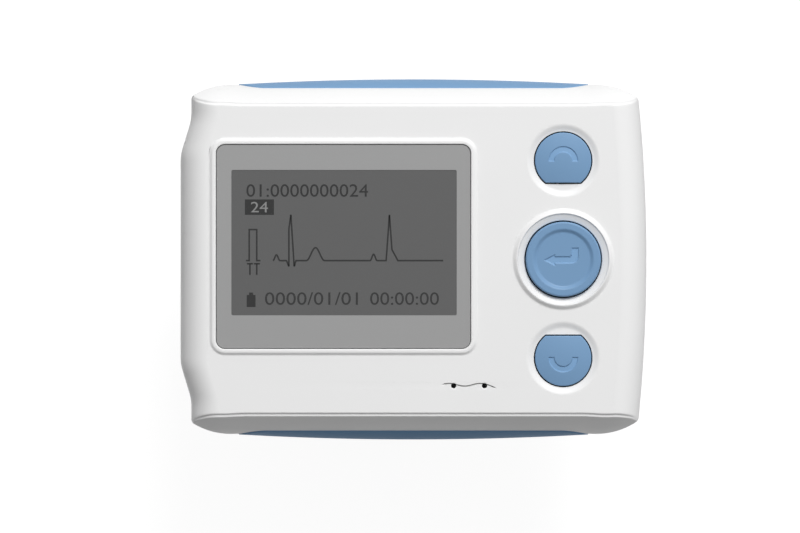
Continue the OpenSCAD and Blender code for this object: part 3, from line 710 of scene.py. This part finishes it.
class Skin:
    # collects grids and filled flats, then welds them into one mesh
    def __init__(self):
        self.points, self.faces = [], []

    def grid(self, rows, flip=False):
        # rows: (loops, points round, 3), closed round; faces join each loop to the next
        loops, n = rows.shape[:2]
        start = sum(len(p) for p in self.points)
        self.points.append(rows.reshape(-1, 3))
        j, i = np.meshgrid(np.arange(loops - 1), np.arange(n), indexing="ij")
        k = (i + 1) % n
        quad = np.stack([j * n + i, (j + 1) * n + i, (j + 1) * n + k, j * n + k], axis=-1)
        quad = quad.reshape(-1, 4) + start
        self.faces.append(quad[:, ::-1] if flip else quad)

    def fill(self, outer, holes, z, flip=False):
        loops = [np.column_stack([loop[:, :2], np.full(len(loop), z)]) for loop in [outer, *holes]]
        start = sum(len(p) for p in self.points)
        tris = np.array(tessellate_polygon([[Vector(p) for p in loop] for loop in loops]))
        flat = np.vstack(loops)
        a, b, c = flat[tris[:, 0]], flat[tris[:, 1]], flat[tris[:, 2]]
        up = np.cross(b - a, c - a)[:, 2] > 0
        tris[~up] = tris[~up][:, ::-1]
        if flip:
            tris = tris[:, ::-1]
        self.points.append(flat)
        self.faces.append(tris + start)

    def build(self, name, material, body="housing", marks=None):
        points = np.vstack(self.points) * mm
        faces = [tuple(f) for block in self.faces for f in block.tolist()]
        piece = addMesh(name, points, faces, material, body)
        if marks is not None:
            piece.data.attributes.new("sign", "FLOAT", "POINT").data.foreach_set("value", marks)
        work = bmesh.new()
        work.from_mesh(piece.data)
        bmesh.ops.remove_doubles(work, verts=work.verts, dist=0.0015 * mm)
        bmesh.ops.dissolve_degenerate(work, dist=0.0005 * mm, edges=work.edges)
        work.to_mesh(piece.data)
        work.free()
        piece.data.polygons.foreach_set("use_smooth", np.ones(len(piece.data.polygons), bool))
        piece.data.set_sharp_from_angle(angle=math.radians(38))
        return piece


def carried(centres, ways, radius, profile, z):
    # each profile point (offset, height) carried round the outline
    return np.stack([np.column_stack([centres + ways * (radius + d), np.full(len(ways), z + h)])
                     for d, h in profile])


windowRim = {  # millimetres
    "w": 41.92, "h": 33.6, "r": 1.4, "x": -11.6, "y": 2.1,
    "pocket": -1.1,
    "openW": 39.6, "openH": 26.4, "openX": -11.5, "openY": 2.75,
    # outwards from the window's outline and up from the face: the raised rim, then the pocket's wall
    "profile": [(1.25, 0), (1.2, 0), (1.12, 0.025), (0.99, 0.11), (0.84, 0.25), (0.76, 0.31), (0.67, 0.34),
                (0.3, 0.35), (0.2, 0.335), (0.13, 0.29), (0.1, 0.2), (0.1, 0), (0.1, -1.1)],
}
keys = {  # millimetres
    "x": 24.7, "pitch": 16.3,
    "enterR": 6.2, "arrowR": 4.65, "flat": 3.66, "gap": 0.2,
    "dishR": 6.1, "dishSlope": 1.3, "dish": 0.38, "dishLip": 0.06,
    "ringOut": 8.45, "ringTop": 7.6, "ringH": 0.5, "ringBrow": 0.2, "ringSink": 0.25, "ringLip": 0.24,
    "coneTop": 0.72,        # share of the ring's height at which its inner cone starts
}
soundHoles = {  # millimetres; profile runs outwards from the hole's radius and up from the face
    "x": 9.15, "y": -20.9, "pitch": 5.1, "r": 0.43,
    "profile": [(0.2, 0), (0.1, -0.005), (0.03, -0.04), (0, -0.12)],
}


def around(count):
    # unit vectors all round a circle
    a = 2 * math.pi * np.arange(count) / count
    return np.stack([np.cos(a), np.sin(a)], axis=1)


def buildFrontSkin():
    # an outer and an inner skin joined along the parting line, with the face and its back filled
    # flat between the rim and the openings
    c = frontCase
    skin = Skin()
    top, floor = c["depth"], c["depth"] - c["wall"]
    spots, ways = coreLoop()
    outer = sideSection(spots, ways, 0.0, 84, top)
    inner = sideSection(spots, ways, c["wall"], 12, floor)
    outward = np.column_stack([ways, np.zeros(len(ways))])
    seam = np.stack([outer[:, -1] - outward * inwards - [0, 0, down] for inwards, down in c["seamRows"]])
    skin.grid(np.concatenate([outer.transpose(1, 0, 2), seam, inner[:, ::-1].transpose(1, 0, 2)]))
    face, back = [], []

    def opening(rows):
        skin.grid(rows, flip=True)
        face.append(rows[0])
        back.append(rows[-1])

    # window: raised rim, pocket, and the opening through the pocket's floor
    w = windowRim
    rim = carried(*roundedLoop(w["w"], w["h"], w["r"], w["x"], w["y"]), w["r"], w["profile"], top)
    hole = carried(*roundedLoop(w["openW"], w["openH"], w["r"], w["openX"], w["openY"]), w["r"],
                   [(0, w["pocket"]), (0, floor - top)], top)
    opening(np.concatenate([rim, hole]))

    # middle button: a raised ring that rises outside and dips in a cone to the button's gap
    k = keys
    turn = around(128)
    gapR = k["enterR"] + k["gap"]
    browR = k["ringTop"] - k["ringBrow"]
    radii = np.concatenate([[k["ringOut"] + 0.1], np.linspace(k["ringOut"], k["ringTop"], 14)[:-1],
                            np.linspace(k["ringTop"], browR, 8)[:-1], np.linspace(browR, gapR + 0.06, 12)])
    inward = (k["ringTop"] - radii) / (k["ringTop"] - gapR)
    cone = k["coneTop"] - (k["coneTop"] + k["ringSink"]) * inward
    brow = (1 - k["coneTop"]) * smoothStep((radii - browR) / k["ringBrow"])
    slope = smoothStep((k["ringOut"] - radii) / (k["ringOut"] - k["ringTop"]))
    rise = k["ringH"] * np.where(radii > k["ringTop"], slope, cone + brow)
    profile = [*zip(radii, rise), (gapR, -k["ringLip"]), (gapR, floor - top)]
    opening(carried(np.array([k["x"], 0.0]), turn, 0.0, profile, top))

    # outer buttons: a shallow dish whose floor runs to the flattened hole
    for side in (1, -1):
        ring, way = flattenedCircle(k["arrowR"] + k["gap"], k["flat"] + k["gap"], side)
        rows = []
        for s in np.linspace(1, 0, 16):
            flat = ring * (1 - s) + way * (k["dishR"] + 0.1) * s
            sunk = k["dish"] * smoothStep((k["dishR"] - np.hypot(*flat.T)) / k["dishSlope"])
            rows.append(np.column_stack([flat + [k["x"], side * k["pitch"]], top - sunk]))
        wall = rows[-1].copy()
        wall[:, 2] = floor
        opening(np.stack([*rows, rows[-1] - [0, 0, k["dishLip"]], wall]))

    h = soundHoles
    for side in (-1, 1):
        place = np.array([h["x"] + side * h["pitch"] / 2, h["y"]])
        opening(carried(place, around(32), h["r"], [*h["profile"], (0, floor - top)], top))

    skin.fill(outer[:, 0], face, top)
    skin.fill(inner[:, 0], back, floor, flip=True)
    piece = skin.build("front_case", finishes["white_front"])
    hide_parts("front_shell")


buildFrontSkin()
print("front case built")


windowPlate = {  # millimetres
    "soft": 0.14,           # radius of its upper edge
    "flat": 0.25,           # the band of its top that is a grid
    "foot": 0.03,           # clearance over the pocket's floor
    "printDepth": 0.05, "printThick": 0.05, "printInset": 0.02,
}


def buildWindow():
    # a plate with softened upper edges: the outline carried down from the flat top
    w, p = windowRim, windowPlate
    low, high = (corner.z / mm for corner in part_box("window_lens"))
    low += p["foot"]
    t = np.linspace(0, math.pi / 2, 6)
    arc = p["soft"] * (np.stack([np.sin(t), np.cos(t)], axis=1) - 1)
    profile = [(-p["soft"] - p["flat"], 0), *arc, (0, low - high)]
    rows = carried(*roundedLoop(w["w"], w["h"], w["r"], w["x"], w["y"], 12), w["r"], profile, high)
    skin = Skin()
    skin.grid(rows)
    skin.fill(rows[0], [], high)
    skin.fill(rows[-1], [], low, flip=True)
    piece = skin.build("window", finishes["window_clear"])
    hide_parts("window_lens")


def buildPrint():
    # the grey print under the hard coat: a thin ring between the window's outline and the picture
    w, d, p = windowRim, pictureWindow, windowPlate
    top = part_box("window_lens")[1].z / mm - p["printDepth"]
    sides = [(0, 0), (0, -p["printThick"])]
    inset = 2 * p["printInset"]
    outline = roundedLoop(w["w"] - inset, w["h"] - inset, w["r"], w["x"], w["y"], 12)
    out = carried(*outline, w["r"], sides, top)
    hole = carried(*roundedLoop(d["w"], d["h"], d["r"], d["x"], d["y"], 6), d["r"], sides, top)
    skin = Skin()
    skin.grid(out)
    skin.grid(hole, flip=True)
    skin.fill(out[0], [hole[0]], top)
    skin.fill(out[1], [hole[1]], top - p["printThick"], flip=True)
    piece = skin.build("window_print", finishes["mask_grey"])
    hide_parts("lens_mask")


caps = {  # millimetres
    "enterTop": 22.5, "dish": 0.35, "dishIn": 4.35, "dishOut": 5.1, "enterEdge": 0.3,
    "arrowTop": 22.0, "domeR": 26.0, "arrowEdge": 0.16,
    "signDepth": 0.18, "signSoft": 0.09, "ringMid": 1.95, "ringHalf": 0.45, "ringShift": 0.1,
    "bar": (-1.5, 1.35, -0.64, 0.42), "riser": (1.4, 2.49, 0.5, 1.83),
    "elbow": (1.3, 0.55, 1.19),     # centre of the quarter turn that joins them, and its outer radius
    "tip": -3.1, "headBase": -1.38, "headHalf": 0.9, "headY": -0.13, "headSlant": 0.83,
    "foot": 19.1, "stemTopShare": 0.32, "stemShare": 0.3, "stemFoot": 17.9,
}


def boxGap(x, y, x0, x1, y0, y1):
    return np.maximum(np.maximum(x0 - x, x - x1), np.maximum(y0 - y, y - y1))


def returnSign(x, y):
    # distance outside the arrow that turns back to the left: two bars, a quarter turn and a triangle
    c = caps
    reach = c["headHalf"] * (x - c["tip"]) / (c["headBase"] - c["tip"])
    head = np.maximum(x - c["headBase"], (np.abs(y - c["headY"]) - reach) * c["headSlant"])
    ex, ey, er = c["elbow"]
    turn = np.maximum(np.hypot(x - ex, y - ey) - er, np.maximum(y - ey - 0.1, ex - 0.1 - x))
    return np.minimum(np.minimum(boxGap(x, y, *c["bar"]), boxGap(x, y, *c["riser"])), np.minimum(head, turn))


def halfRingSign(side):
    # distance outside the upper or lower half of a ring
    c = caps

    def gap(x, y):
        y = y + side * c["ringShift"]
        return np.maximum(np.abs(np.hypot(x, y) - c["ringMid"]) - c["ringHalf"], -side * y)
    return gap


def buildCap(name, body, node, place, ring, height, sign, edge):
    # rings from the middle out to the outline, at the cap's height less the engraved sign, then a
    # rounded edge, the wall, the underside and the stem
    c = caps
    skin = Skin()
    inner = 1 - edge / np.linalg.norm(ring, axis=1)[:, None]
    rows, marks = [], []
    for s in np.concatenate([[0.0], np.linspace(0.012, 1, 84)]):
        flat = ring * inner * s
        cut = smoothStep(0.5 - sign(*flat.T) / (2 * c["signSoft"]))
        rows.append(np.column_stack([flat + place, height(*flat.T) - c["signDepth"] * cut]))
        marks.append(cut)
    brim = height(*(ring * inner).T)
    for t in np.radians([18, 36, 54, 72, 90]):
        flat = ring * (inner + (1 - inner) * math.sin(t))
        rows.append(np.column_stack([flat + place, brim - edge * (1 - math.cos(t))]))
    for scale, z in ((1, c["foot"]), (c["stemTopShare"], c["foot"]), (c["stemShare"], c["stemFoot"]),
                     (0, c["stemFoot"])):
        rows.append(np.column_stack([ring * scale + place, np.full(len(ring), z)]))
    marks += [np.zeros(len(ring))] * (len(rows) - len(marks))
    skin.grid(np.stack(rows))
    piece = skin.build(name, finishes["button_blue"], body, marks=np.concatenate(marks))
    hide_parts(node)


def buildCaps():
    c, k = caps, keys

    def enterHeight(x, y):
        # flat, with a round dish
        away = c["dishOut"] - np.hypot(x, y)
        return c["enterTop"] - c["dish"] * smoothStep(away / (c["dishOut"] - c["dishIn"]))

    def domeHeight(x, y):
        # a spherical cap
        return c["arrowTop"] - c["domeR"] + np.sqrt(c["domeR"] ** 2 - x * x - y * y)

    buildCap("enter_cap", "enter_key", "enter_button", np.array([k["x"], 0.0]), k["enterR"] * around(256),
             enterHeight, returnSign, c["enterEdge"])
    for side, word in ((1, "up"), (-1, "down")):
        ring = flattenedCircle(k["arrowR"], k["flat"], side, 256)[0]
        buildCap(word + "_cap", word + "_key", word + "_button", np.array([k["x"], side * k["pitch"]]), ring,
                 domeHeight, halfRingSign(side), c["arrowEdge"])


grips = {  # millimetres
    "w": 58.6, "d": 10.1,
    "flatShare": 0.84,      # how much of the length keeps its full width
    "tip": 1.7,             # power of the superelliptic ends
    "proud": 1.0, "low": 0.16,      # height over the case in the middle and at the ends
    "edge": 0.3, "seat": 27.6,
}


def buildGrips():
    # an outline along x with superelliptic ends, crowned over the curved side of the case: its height
    # over the side falls off with the squares of x and z, and its edges are rounded into the seat
    c, g = frontCase, grips
    reach = g["w"] / 2
    flat = g["flatShare"] * reach
    x = reach * np.sin(np.linspace(-1, 1, 201) * math.pi / 2)
    past = np.clip((np.abs(x) - flat) / (reach - flat), 0, 1)
    wide = g["d"] / 2 * ((1 - past ** g["tip"]) ** (1 / g["tip"]))[:, None]
    v = np.sin(np.linspace(-1, 1, 61) * math.pi / 2)[None, :]
    z = wide * v
    rise = (1 - (x / reach)[:, None] ** 2) * (1 - (z / (g["d"] / 2)) ** 2)
    crown = c["bevelY"] + np.sqrt(c["bevelR"] ** 2 - z * z) + g["low"] + (g["proud"] - g["low"]) * rise
    over = np.clip((np.abs(z) - (wide - g["edge"])) / g["edge"], 0, 1)
    crown = crown - g["edge"] * (1 - np.sqrt(1 - over ** 2))
    top = np.stack([np.broadcast_to(x[:, None], z.shape), crown, half + z], axis=-1)
    bottom = top[:, [-1, 0]].copy()
    bottom[:, :, 1] = g["seat"]
    section = np.concatenate([top, bottom], axis=1)
    for side, word in ((1, "top"), (-1, "bottom")):
        skin = Skin()
        skin.grid(section * [1, side, 1], flip=side > 0)
        piece = skin.build(word + "_grip", finishes["blue_rubbery"])
        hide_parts(word + "_trim")


buildWindow()
buildPrint()
buildCaps()
buildGrips()
print("window, caps and grips built")


# light and floor

def floorFinish():
    # seen by the camera and in reflections it is white; other light meets a mid grey, so that it does
    # not fill the undersides, and it keeps the shadow; from below it is clear
    f = Finish("paleFloor")
    ray = f.node("ShaderNodeLightPath").socket.node.outputs
    seen = Wire(f, ray["Is Camera Ray"]).most(Wire(f, ray["Is Glossy Ray"])).most(
        Wire(f, ray["Is Transmission Ray"]))
    return f.principled(Base_Color=f.mix(seen, (0.2, 0.2, 0.2), (0.22, 0.22, 0.22)), Roughness=0.9,
                        Emission_Color=f.mix(seen, (0, 0, 0), (1, 1, 1)),
                        Emission_Strength=studio["floorGlow"],
                        Alpha=1 - f.node("ShaderNodeNewGeometry", output="Backfacing"))


def skyFinish():
    # plain white where the camera or a transmitted ray meets it; as light it is brighter towards the
    # upper side of the case and darker towards the lower
    f = Finish("studio", world=True)
    ray = f.node("ShaderNodeLightPath").socket.node.outputs
    seen = Wire(f, ray["Is Camera Ray"]).most(Wire(f, ray["Is Transmission Ray"]))
    way = f.node("ShaderNodeTexCoord", output="Generated")
    lean = f.node("ShaderNodeVectorMath", {"operation": "DOT_PRODUCT"}, [way, studio["skyLean"]], "Value")
    light, plain = [f.node("ShaderNodeBackground", {}, {"Color": (1, 1, 1, 1), "Strength": level})
                    for level in ((lean + 1) * studio["skyLevel"], 1.0)]
    return f.show(f.node("ShaderNodeMixShader", {}, [seen, light, plain]))


def makeStudio():
    reach, level = studio["floorSize"] / 2, -studio["floorDrop"]
    corners = [(x * reach, y * reach, level) for x, y in ((-1, -1), (1, -1), (1, 1), (-1, 1))]
    mesh = bpy.data.meshes.new("floor")
    mesh.from_pydata(corners, [], [(0, 1, 2, 3)])
    mesh.materials.append(floorFinish())
    floor = bpy.data.objects.new("floor", mesh)
    bpy.context.scene.collection.objects.link(floor)

    lamp = bpy.data.lights.new("keyLight", "AREA")
    lamp.size = studio["keySize"]
    lamp.energy = studio["keyLevel"] * (math.pi * studio["keyDistance"]) ** 2
    key = bpy.data.objects.new("keyLight", lamp)
    bpy.context.scene.collection.objects.link(key)
    way = Vector(studio["keyFrom"]).normalized()
    key.location = way * studio["keyDistance"]
    key.rotation_euler = way.to_track_quat("Z", "Y").to_euler()
    bpy.context.scene.world = skyFinish()


makeStudio()
print("studio lit")
